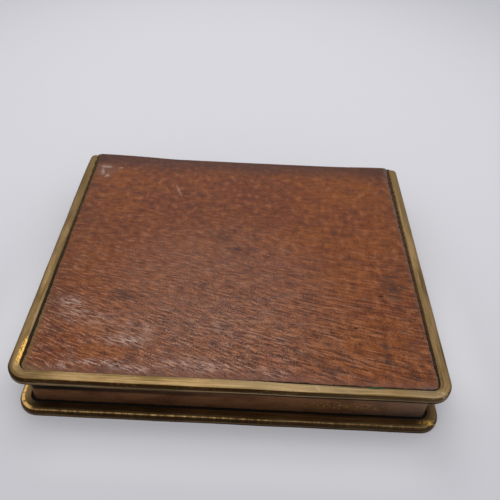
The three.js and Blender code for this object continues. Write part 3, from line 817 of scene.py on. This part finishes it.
class CASE_OT_leather(bpy.types.Operator):
    """Leather over the lid, round the hinge and down the spine, and the leather underneath"""
    bl_idname = "case.leather"
    bl_label = "Leather"

    # Worn places on the lid, in millimetres: middle across and along, reach across and along, strength
    PALE = ((-36.5, -18.7, 2.8, 1.3, 0.9), (-22.5, -29, 4.4, 1.3, 1), (-34.5, -36.3, 2.6, 0.7, 0.45),
            (-29, -35, 4, 0.7, 0.9), (-23.5, -35.4, 3, 0.8, 0.75), (-19, -36.4, 3, 0.7, 0.8),
            (-8, -34.5, 7, 1.8, 0.7), (-31, -24, 6, 2.5, 0.4), (-4, -24, 14, 6, 0.2),
            (8, -35.8, 4.5, 1.4, 0.35), (-35, -21.5, 3, 2, 0.5), (-20.5, -25.5, 4, 2, 0.35))
    # Stains in the same form, and rosy places where the strength is below 0
    DARK = ((-4, 5.2, 2.8, 2.6, 0.9), (-25.5, -16.4, 4.6, 1.9, 0.8), (36.8, -9.5, 3, 5, 1),
            (32.5, -27, 1, 4, 0.6), (32.6, -33, 0.9, 3, 0.7), (36.7, -35.2, 3, 1, 0.7),
            (3, -15, 6, 2.6, 0.5), (20, -33.8, 6, 1.8, 0.6), (-33, 19, 3, 1.8, 0.4),
            (10, 21, 4, 2, 0.4), (-41.2, 37, 1.8, 2.2, 0.9), (1, 0.3, 3.4, 1.9, 0.9),
            (-12.5, -23.5, 3.4, 2.2, 0.6), (-8, -13, 1.6, 5, 0.5), (-26, -32, 7, 1.6, -0.9),
            (-31.5, -25.5, 4, 1.8, -0.7), (25, -27.5, 3, 4, -0.6), (-34.5, -31.5, 3, 1.8, 0.35),
            (24, -31, 9, 4.5, 0.3), (-31, -36.2, 5, 1, 0.4), (21.7, -27.7, 2.4, 1.6, 0.5),
            (-24, -36.5, 6, 0.9, 0.4))
    # How long the crown's fade before the hinge is, and how deep and wide the edges' drop is
    CROWN_FADE = 12 * MM
    LID_DROP, LID_DROP_REACH = 0.16 * MM, 0.8 * MM
    UNDER_DROP, UNDER_DROP_REACH = 0.2 * MM, 0.9 * MM
    # The back edge's uneven stretch: its place past the hinge and reach, its sag and its corners' curl
    BACK_PLACE, BACK_REACH = 1 * MM, 3 * MM
    SAG, SAG_MIDDLE = 0.28 * MM, -6 * MM
    CURL, CURL_MIDDLE, CURL_START, CURL_LENGTH = 0.34 * MM, 4 * MM, 22 * MM, 16 * MM
    # The front edge fills this share of the groove over a length, at the left as far as a place across
    GROOVE_SHARE, GROOVE_LENGTH, GROOVE_END = 0.9, 2 * MM, 8 * MM
    # How near the hinge the cover starts to bend, and how far it keeps from the knuckles
    BEND_REACH, KNUCKLE_GAP = 0.9 * MM, 0.03 * MM
    # Shifts the underside's grain along the hide, in millimetres
    UNDERSIDE_SHIFT = 120

    def execute(self, context):
        sizes = context.scene.case_sizes
        material = leather_finish(context.scene.case_colours)
        self.cover(sizes, material)
        self.underside(sizes, material)
        return {"FINISHED"}

    def blank(self, columns, rows):
        """A flat sheet of unit size with the two attributes that the finish reads."""
        bm = bmesh.new()
        hide = bm.verts.layers.float_vector.new("hide")
        marks = bm.verts.layers.float_vector.new("marks")
        bmesh.ops.create_grid(bm, x_segments=columns, y_segments=rows, size=0.5)
        return bm, hide, marks

    def laid(self, flat, half, front, length, sizes):
        """A blank's point on the hide: its place across and along, and how far inside the edge it is."""
        corner = sizes.corner_radius - sizes.lip_width - sizes.leather_groove
        along = front + (flat.y + 0.5) * length
        short = max(corner - (along - front), 0)
        cut = corner - math.sqrt(max(corner ** 2 - short ** 2, 0))
        x = 2 * flat.x * (half - cut)
        return x, along, min(half - abs(x), along - front)

    def drawn_in(self, x, along):
        """How far the leather has shrunk to the left, off the right strip and over the left groove."""
        share = held((abs(x) / MM - 34) / 8)
        backward = held((along / MM + 37) / 75)
        return share * (0.24 * backward ** 3 - (0.06 if x > 0 else 0)) * MM

    def grain(self, x, along):
        """Height of the long grain, from about -1 to 1, at a place in millimetres."""
        front = held((30 - along) / 68)
        wander = noise.noise(Vector((x * 0.04, along * 0.06, 3)))
        across = across_grain(x, along, front) + wander
        long = noise.noise(Vector((x * 0.16, across * 1.4, 0)))
        short = noise.noise(Vector((x * 0.35, across * 2.4, 5)))
        return (long + 0.7 * short) * (0.35 + 0.65 * front)

    def worn(self, x, along, places):
        """How far a place lies in a set of worn places, from -1 to 1."""
        total = sum(strength * math.exp(-((x - cx) / rx) ** 2 - ((along - cy) / ry) ** 2)
                    for cx, cy, rx, ry, strength in places)
        return held(total, -1)

    def texture(self, x, along, grain, pale, dark, sizes):
        """Height of the grain, the crumpled scuffs and the broad swell at a place in millimetres."""
        broad = noise.noise(Vector((x * 0.07, along * 0.11, 9)))
        crumple = noise.noise(Vector((x * 0.9, along * 1.6, 4)))
        fine = sizes.grain_depth * (grain - 1 + 1.6 * pale * crumple)
        return fine + sizes.swell * (broad - 0.6 - 0.5 * max(dark, 0) + 0.9 * pale)

    def edge_drop(self, border, depth, reach):
        """How far the leather falls towards its cut edge."""
        return depth * max(0, 1 - border / reach) ** 2

    def form(self, x, along, border, half, sizes):
        """Height of the cover's broad form: its crown, its rounded edge, the sag and curl at the back."""
        crown = sizes.leather_crown * (1 - (x / half) ** 2) * held((HINGE.y - along) / self.CROWN_FADE)
        back = math.exp(-((along - HINGE.y - self.BACK_PLACE) / self.BACK_REACH) ** 2)
        sag = self.SAG * back * max(0, 1 - ((x - self.SAG_MIDDLE) / half) ** 2)
        curl = eased((abs(x - self.CURL_MIDDLE) - self.CURL_START) / self.CURL_LENGTH)
        drop = self.edge_drop(border, self.LID_DROP, self.LID_DROP_REACH)
        return crown - drop - sag + self.CURL * back * curl

    def cover(self, sizes, material):
        """One sheet over the lid, round the hinge, down the spine and under its foot."""
        half, front, top = LID_LEATHER[1].x, LID_LEATHER[0].y, LID_LEATHER[1].z
        back = SPINE_LEATHER[1].y
        bend = top - HINGE.z
        lengths = (HINGE.y - front, bend * math.pi / 2, HINGE.z - SPINE_ROUND, SPINE_ROUND * math.pi / 2)
        total = sum(lengths)

        def fold(x, run, lift):
            """A point of the sheet at a run from its front edge, lifted off the plain form."""
            if run <= lengths[0]:
                return Vector((x, front + run, top + lift))
            run -= lengths[0]
            if run <= lengths[1]:
                radius, angle = bend + lift, run / bend
                return Vector((x, HINGE.y + radius * math.sin(angle), HINGE.z + radius * math.cos(angle)))
            run -= lengths[1]
            if run <= lengths[2]:
                return Vector((x, back + lift, HINGE.z - run))
            radius, angle = SPINE_ROUND + lift, (run - lengths[2]) / SPINE_ROUND
            return Vector((x, back - SPINE_ROUND + radius * math.cos(angle),
                           SPINE_ROUND - radius * math.sin(angle)))

        bm, hide, marks = self.blank(96, 440)
        for point in bm.verts:
            x, along, border = self.laid(point.co, half, front, total, sizes)
            x -= self.drawn_in(x, along)
            place = (x / MM, along / MM)
            grain = self.grain(*place)
            pale, dark = self.worn(*place, self.PALE), self.worn(*place, self.DARK)
            point[hide] = (*place, border / MM)
            point[marks] = (grain, pale, dark)
            lift = self.texture(*place, grain, pale, dark, sizes) + self.form(x, along, border, half, sizes)
            stretch = max(0, 1 - (along - front) / self.GROOVE_LENGTH) * held(1 - x / self.GROOVE_END)
            point.co = fold(x, along - front, lift)
            point.co.y -= sizes.leather_groove * self.GROOVE_SHARE * stretch + lip_loss(x, along)
        bmesh.ops.recalc_face_normals(bm, faces=bm.faces)
        self.thicken(bm, sizes.leather_thickness, Vector((0, 0, 1)))
        self.clear_hinge(bm)
        piece = piece_from(bm, "leather_cover", material, None,
                           ("lid_leather", "hinge_leather", "spine_leather"))
        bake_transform(piece)

    def thicken(self, bm, thickness, outward):
        """Gives the sheet its thickness on the inner side and closes its border."""
        middle = max(bm.faces, key=lambda face: face.calc_center_median().dot(outward))
        if middle.normal.dot(outward) < 0:
            bmesh.ops.reverse_faces(bm, faces=bm.faces)
        bmesh.ops.solidify(bm, geom=bm.faces, thickness=thickness)

    def clear_hinge(self, bm):
        """Keeps the inner side of the cover's bend off the knuckles."""
        clear = KNUCKLE_RADIUS + self.KNUCKLE_GAP
        for point in bm.verts:
            gap = Vector((point.co.y - HINGE.y, point.co.z - HINGE.z))
            if gap.x > 0 and gap.y > 0 and gap.length < clear:
                gap *= clear / gap.length
                point.co.y, point.co.z = HINGE.y + gap.x, HINGE.z + gap.y

    def underside(self, sizes, material):
        """A flat sheet under the base, between the base rim's lips."""
        half, front, back = BASE_LEATHER[1].x, BASE_LEATHER[0].y, BASE_LEATHER[1].y
        bm, hide, marks = self.blank(84, 190)
        for point in bm.verts:
            x, along, border = self.laid(point.co, half, front, back - front, sizes)
            place = (x / MM, along / MM + self.UNDERSIDE_SHIFT)
            grain = self.grain(*place)
            point[hide] = (*place, border / MM)
            point[marks] = (grain, 0, 0)
            drop = self.edge_drop(border, self.UNDER_DROP, self.UNDER_DROP_REACH)
            point.co = Vector((x, along, drop - sizes.grain_depth * (grain - 1.5)))
        bmesh.ops.recalc_face_normals(bm, faces=bm.faces)
        self.thicken(bm, sizes.leather_thickness, Vector((0, 0, -1)))
        for point in bm.verts:
            point.co.z = min(point.co.z, BASE_LEATHER[1].z)
        piece = piece_from(bm, "leather_underside", material, "base", ("base_leather",))


class CASE_OT_rims(bpy.types.Operator):
    """Folded brass rims of the lid and the base"""
    bl_idname = "case.rims"
    bl_label = "Rims"

    # Places painted bright, in millimetres: middle across and along, reach across and along; the lid's is a
    # painted glint, the base's is polished by handling
    LID_GLINT = (((-43.1, -33), (0.75, 4.8)),)
    BASE_RUBS = (((42, -38.3), (2.6, 0.9)),)
    # The rounding of the lips' edges, and how far and along what length the left strip's end is bent in
    LIP_ROUND = 0.16 * MM
    LEFT_BEND, LEFT_BEND_LENGTH = 0.3 * MM, 14 * MM
    WAVER_SIZE = 9 * MM

    def execute(self, context):
        sizes = context.scene.case_sizes
        colours = context.scene.case_colours
        for body, box, rounding, bent, tarnished, stained, seed, rubs_and_glints in (
            ("lid", LID_RIM, sizes.lid_rim_round, self.LEFT_BEND, 0, 0.5, 2, self.LID_GLINT),
            ("base", BASE_RIM, sizes.base_rim_round, 0, 0.5, 0, 8, self.BASE_RUBS),
        ):
            low, high = box
            sheet, lip = sizes.rim_sheet, sizes.lip_width
            outline = (high.x, low.y, high.y, sizes.corner_radius)
            section = [(0, high.z), (0, low.z), (lip, low.z), (lip, low.z + sheet), (sheet, low.z + sheet),
                       (sheet, high.z - sheet), (lip, high.z - sheet), (lip, high.z)]
            bm, corner = sweep_front(section, outline)
            round_runs(bm, corner, (1, 2), rounding, 6)
            round_runs(bm, corner, (3, 8), self.LIP_ROUND, 3)
            mark_run(bm, outline, low.z)
            self.round_ends(bm, high, lip, sizes.rim_end_round, bent)
            if body == "lid":
                for point in bm.verts:
                    inset = run_of(point.co.x, point.co.y, outline)[1]
                    point.co.y -= lip_loss(point.co.x, point.co.y) * held(inset / lip)
            waver(bm, sizes.rim_waver, self.WAVER_SIZE, seed)
            for point in bm.verts:
                point.co.z = max(point.co.z, low.z)
            name = body + "_rim_brass"
            material = brass_finish(colours, name, tarnished, stained, rubs_and_glints)
            piece_from(bm, name, material, body, (body + "_rim",))
        return {"FINISHED"}

    def round_ends(self, bm, high, lip, radius, bent):
        """Draws the side strips in at the back: round their outer corners, and bent at the left end."""
        for point in bm.verts:
            short = max(point.co.y - (high.y - radius), 0)
            drawn = radius - math.sqrt(max(radius ** 2 - short ** 2, 0))
            if point.co.x < 0:
                drawn += bent * max(0, 1 - (high.y - point.co.y) / self.LEFT_BEND_LENGTH) ** 2
            if drawn > 0:
                inset = high.x - abs(point.co.x)
                inset += drawn * (1 - inset / lip)
                point.co.x = math.copysign(high.x - inset, point.co.x)


class CASE_OT_residue(bpy.types.Operator):
    """Dirt and old polish in the leather's groove, and a black bead along the foot of the tray wall that
    also paints the shade of its slit
    """
    bl_idname = "case.residue"
    bl_label = "Residue"

    # How far over a bead's floor its top begins, and how far past the lip its outer edge counts
    TOP_CLEARANCE, OUTER_EDGE = 0.05 * MM, 0.2 * MM
    # The groove's bead: its play, its width past the lip, its depth under the rim, its reach at the back
    PLAY, WIDTH, DEPTH, BACK_REACH = 0.02 * MM, 0.46 * MM, 0.14 * MM, 0.3 * MM
    # The wall's bead: how far it goes under the lip, and its depth under the rim
    UNDER_LIP, WALL_DEPTH = 0.05 * MM, 0.08 * MM
    # The step of both beads and the rounding of their tops
    STEP, TOP_ROUND = 0.35 * MM, 0.1 * MM
    # Where the side strips begin across, and how far the right one's foot is drawn in under the leather
    SIDE, DRAWN_IN = 38 * MM, 0.5 * MM
    # How far the residue may stand over the rim, in millimetres
    PROUD = 0.08

    def execute(self, context):
        sizes = context.scene.case_sizes
        material = residue_finish(context.scene.case_colours)
        self.groove(sizes, material)
        self.wall_foot(sizes, material)
        return {"FINISHED"}

    def bead(self, near, far, floor, top, back, sizes):
        """A low bead along the rim's outline, between two insets and two heights."""
        low, high = LID_RIM
        section = [(near, floor), (far, floor), (far, top), (near, top)]
        outline = (high.x, low.y, back, sizes.corner_radius)
        bm, corner = sweep_front(section, outline, step=self.STEP, corner_steps=24)
        round_runs(bm, corner, (3, 4), self.TOP_ROUND, 2)
        return bm

    def groove(self, sizes, material):
        """Residue between the lid's lip and the leather, drawn in under the leather's right edge."""
        lip, high = sizes.lip_width, LID_RIM[1]
        near, far = lip - self.PLAY, lip + self.WIDTH
        floor, top = LID_LEATHER[0].z + self.PLAY, high.z - self.DEPTH
        bm = self.bead(near, far, floor, top, high.y + self.BACK_REACH, sizes)
        for point in bm.verts:
            point.co.y -= lip_loss(point.co.x, point.co.y)
            if point.co.z > floor + self.TOP_CLEARANCE:
                self.smear(point, lip, high)
            elif high.x - point.co.x > lip + self.OUTER_EDGE and point.co.x > self.SIDE and point.co.y > 0:
                point.co.x -= self.DRAWN_IN
        piece_from(bm, "groove_residue", material, "lid", ())

    def smear(self, point, lip, high):
        """Makes the top uneven: bare at the front left, over the lip at the back, wide at the right."""
        place = point.co / MM
        side = math.copysign(1, place.x)
        bare = held((10 - place.x) / 10) if place.y < -36 else 0
        uneven = noise.noise(place * 1.7 + Vector((0, 0, 9)))
        point.co.z += (noise.noise(place * 0.9) * 0.1 + noise.noise(place * 3.1) * 0.08 - 0.3 * bare) * MM
        if abs(point.co.x) > self.SIDE and place.y > -34:
            backward = held((place.y + 25) / 60)
            if high.x - abs(point.co.x) < lip + self.OUTER_EDGE:
                over = 0.2 * (0.2 + backward * backward) * max(0, 0.5 + 1.8 * uneven)
                point.co.x += side * over * MM
                point.co.z = high.z + self.PROUD * backward * MM
            else:
                width = 0.45 * backward + 0.1 if side > 0 else 0.1
                point.co.x -= side * max(0, 0.1 + width * (0.5 + uneven)) * MM
        point.co.z = min(point.co.z, high.z + self.PROUD * MM)

    def wall_foot(self, sizes, material):
        """Dirt between the base's lip and the tray wall, black, which also paints the shade in that slit.
        """
        near, far = sizes.lip_width - self.UNDER_LIP, BASE_RIM[1].x - TRAY_WALL[1].x - self.PLAY
        floor, top = TRAY_WALL[0].z, BASE_RIM[1].z - self.WALL_DEPTH
        bm = self.bead(near, far, floor, top, TRAY_WALL[1].y, sizes)
        for point in bm.verts:
            if point.co.z > floor + self.TOP_CLEARANCE:
                point.co.z += noise.noise(point.co / MM * 1.3) * 0.07 * MM
        piece_from(bm, "wall_foot_grime_and_shade", material, "base", ())


class CASE_OT_tray(bpy.types.Operator):
    """Wall of the tray and the lid's closing flange with its friction pips"""
    bl_idname = "case.tray"
    bl_label = "Tray wall and flange"

    EDGE_ROUND = 0.12 * MM
    WAVER, WAVER_SIZE, WAVER_SEED = 0.02 * MM, 12 * MM, 4

    def execute(self, context):
        colours = context.scene.case_colours
        bm = self.strip(*TRAY_WALL, WALL_CORNER, WALL_SHEET)
        piece_from(bm, "tray_wall_brass", wall_finish(colours), "base", ("tray_wall",))
        low, high = LID_FLANGE
        low = Vector((low.x + PIP_PROUD, low.y + PIP_PROUD, low.z))
        high = Vector((high.x - PIP_PROUD, high.y, high.z))
        bm = self.strip(low, high, FLANGE_CORNER, FLANGE_SHEET)
        for x, y in ((-PIP_PLACE, low.y), (PIP_PLACE, low.y), (low.x, 0), (high.x, 0)):
            flat = (PIP_FLATNESS, 1, 1) if abs(x) > abs(y) else (1, PIP_FLATNESS, 1)
            made = bmesh.ops.create_uvsphere(bm, u_segments=20, v_segments=12, radius=PIP_RADIUS)["verts"]
            bmesh.ops.scale(bm, verts=made, vec=flat)
            bmesh.ops.translate(bm, verts=made, vec=(x, y, (low.z + high.z) / 2))
        gilt = gilt_finish(colours, "flange_brass")
        piece_from(bm, "lid_flange_brass", gilt, "lid", ("lid_flange",))
        return {"FINISHED"}

    def strip(self, low, high, radius, sheet):
        """A band of sheet brass round the front and the sides, with softened edges."""
        section = [(0, high.z), (0, low.z), (sheet, low.z), (sheet, high.z)]
        outline = (high.x, low.y, high.y, radius)
        bm, corner = sweep_front(section, outline)
        round_runs(bm, corner, (1, 2, 3, 4), self.EDGE_ROUND, 2)
        mark_run(bm, outline, low.z)
        waver(bm, self.WAVER, self.WAVER_SIZE, self.WAVER_SEED)
        return bm


class CASE_OT_hinge(bpy.types.Operator):
    """Seven knuckles on a steel pin"""
    bl_idname = "case.hinge"
    bl_label = "Hinge"

    KNUCKLE_ROUND, PIN_ROUND = 0.12 * MM, 0.15 * MM

    def execute(self, context):
        colours = context.scene.case_colours
        brass = gilt_finish(colours, "hinge_brass")
        for node in sorted(frame["nodes"]):
            if "_knuckle_" in node:
                bm = hinge_tube(node, KNUCKLE_BORE, KNUCKLE_RADIUS, self.KNUCKLE_ROUND)
                piece_from(bm, node + "_tube", brass, node.split("_")[0], (node,))
        bm = hinge_tube("hinge_pin", 0, PIN_RADIUS, self.PIN_ROUND)
        piece_from(bm, "hinge_pin_rod", steel_finish(colours), "base", ("hinge_pin",))
        return {"FINISHED"}


class CASE_OT_band(bpy.types.Operator):
    """Elastic band on the tray floor"""
    bl_idname = "case.band"
    bl_label = "Elastic band"

    # Heights in millimetres: ribs, weave, crown, and the drop that keeps them in the node's box
    RIB, WEAVE, CROWN, DROP = 0.12, 0.03, 0.1, 0.27

    def execute(self, context):
        low, high = BAND
        bm = bmesh.new()
        bmesh.ops.create_grid(bm, x_segments=90, y_segments=BAND_RIBS * 4, size=0.5)
        middle = (low + high) / 2
        reach = high - low
        for point in bm.verts:
            across = (point.co.y + 0.5) * BAND_RIBS
            x = middle.x + point.co.x * reach.x
            rib = self.RIB * abs(math.sin(math.pi * across))
            weave = self.WEAVE * math.sin(x / MM * 2.2 + math.pi * (int(across) % 2))
            crown = self.CROWN * min(min(across, BAND_RIBS - across) / 1.5, 1)
            point.co = Vector((x, middle.y + point.co.y * reach.y,
                               high.z + (rib + weave + crown - self.DROP) * MM))
        bmesh.ops.recalc_face_normals(bm, faces=bm.faces)
        made = bmesh.ops.extrude_face_region(bm, geom=list(bm.faces))["geom"]
        for item in made:
            if isinstance(item, bmesh.types.BMVert):
                item.co.z = low.z + 0.02 * MM
        bmesh.ops.recalc_face_normals(bm, faces=bm.faces)
        material = elastic_finish(context.scene.case_colours)
        piece_from(bm, "elastic_band", material, "base", ("band",))
        return {"FINISHED"}


class CASE_OT_fittings(bpy.types.Operator):
    """Anchor plates and domed rivets that hold the band"""
    bl_idname = "case.fittings"
    bl_label = "Band fittings"

    PLATE_ROUND = 0.14 * MM

    def execute(self, context):
        colours = context.scene.case_colours
        brass = gilt_finish(colours, "anchor_brass")
        steel = steel_finish(colours)
        for side in ("left", "right"):
            self.plate("band_anchor_" + side, brass)
            for end in ("front", "back"):
                self.rivet("band_rivet_%s_%s" % (side, end), steel)
        return {"FINISHED"}

    def plate(self, node, brass):
        """A small plate with round corners and a softened upper edge."""
        low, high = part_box(node)
        bm = bmesh.new()
        bmesh.ops.create_cube(bm, size=1)
        bmesh.ops.scale(bm, verts=bm.verts, vec=high - low)
        bmesh.ops.translate(bm, verts=bm.verts, vec=(low + high) / 2)
        upright = [edge for edge in bm.edges if abs(edge.verts[0].co.z - edge.verts[1].co.z) > 0.1 * MM]
        bevel(bm, upright, ANCHOR_CORNER, 5)
        upper = [edge for edge in bm.edges if all(point.co.z > high.z - 0.01 * MM for point in edge.verts)]
        bevel(bm, upper, self.PLATE_ROUND, 3)
        bmesh.ops.recalc_face_normals(bm, faces=bm.faces)
        piece_from(bm, node + "_plate", brass, "base", (node,))

    def rivet(self, node, steel):
        """A turned rivet: a domed head on a straight shank."""
        low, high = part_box(node)
        middle = (low + high) / 2
        head = (high.x - low.x) / 2
        rim = high.z - RIVET_DOME
        outline = [(0, high.z), (head * 0.5, high.z - RIVET_DOME * 0.12),
                   (head * 0.85, high.z - RIVET_DOME * 0.5), (head, rim),
                   (RIVET_SHANK, rim), (RIVET_SHANK, low.z), (0, low.z)]
        bm = bmesh.new()
        points = [bm.verts.new((middle.x + radius, middle.y, z)) for radius, z in outline]
        for pair in zip(points, points[1:]):
            bm.edges.new(pair)
        lathe(bm, (middle.x, middle.y, 0), (0, 0, 1), 24)
        piece_from(bm, node + "_dome", steel, "base", (node,))


class CASE_OT_boards(bpy.types.Operator):
    """Finishes of the flat solids that stay as they are"""
    bl_idname = "case.boards"
    bl_label = "Plates and board"

    def execute(self, context):
        colours = context.scene.case_colours
        gilt = gilt_finish(colours, "plate_brass")
        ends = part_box("tray_back_wall")[1].x / MM
        self.paint("lid_plate", gilt)
        self.paint("base_plate", gilt)
        self.paint("tray_back_wall", gilt_finish(colours, "back_wall_brass", ends))
        self.paint("spine_board", card_finish(colours))
        return {"FINISHED"}

    def paint(self, node, material):
        """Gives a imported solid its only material."""
        mesh = frame["nodes"][node].data
        mesh.materials.clear()
        mesh.materials.append(material)


class VIEW3D_PT_case(bpy.types.Panel):
    """Lists the case's pieces in the order they are built"""
    bl_label = "Cigarette Case"
    bl_idname = "VIEW3D_PT_case"
    bl_space_type = "VIEW_3D"
    bl_region_type = "UI"
    bl_category = "Case"

    def draw(self, context):
        for step in STEPS:
            self.layout.operator(step.bl_idname)


STEPS = (CASE_OT_stage, CASE_OT_leather, CASE_OT_rims, CASE_OT_residue, CASE_OT_tray, CASE_OT_hinge,
         CASE_OT_band, CASE_OT_fittings, CASE_OT_boards)
CLASSES = (CaseSizes, CaseColours, *STEPS, VIEW3D_PT_case)


def register():
    """Registers the classes and hangs their settings on the scene."""
    for item in CLASSES:
        bpy.utils.register_class(item)
    bpy.types.Scene.case_sizes = PointerProperty(type=CaseSizes)
    bpy.types.Scene.case_colours = PointerProperty(type=CaseColours)


def unregister():
    """Takes the settings and classes away again."""
    del bpy.types.Scene.case_colours
    del bpy.types.Scene.case_sizes
    for item in reversed(CLASSES):
        bpy.utils.unregister_class(item)


def main():
    """Builds every piece in order."""
    register()
    for step in STEPS:
        getattr(bpy.ops.case, step.bl_idname.split(".")[1])()


if __name__ == "__main__":
    main()
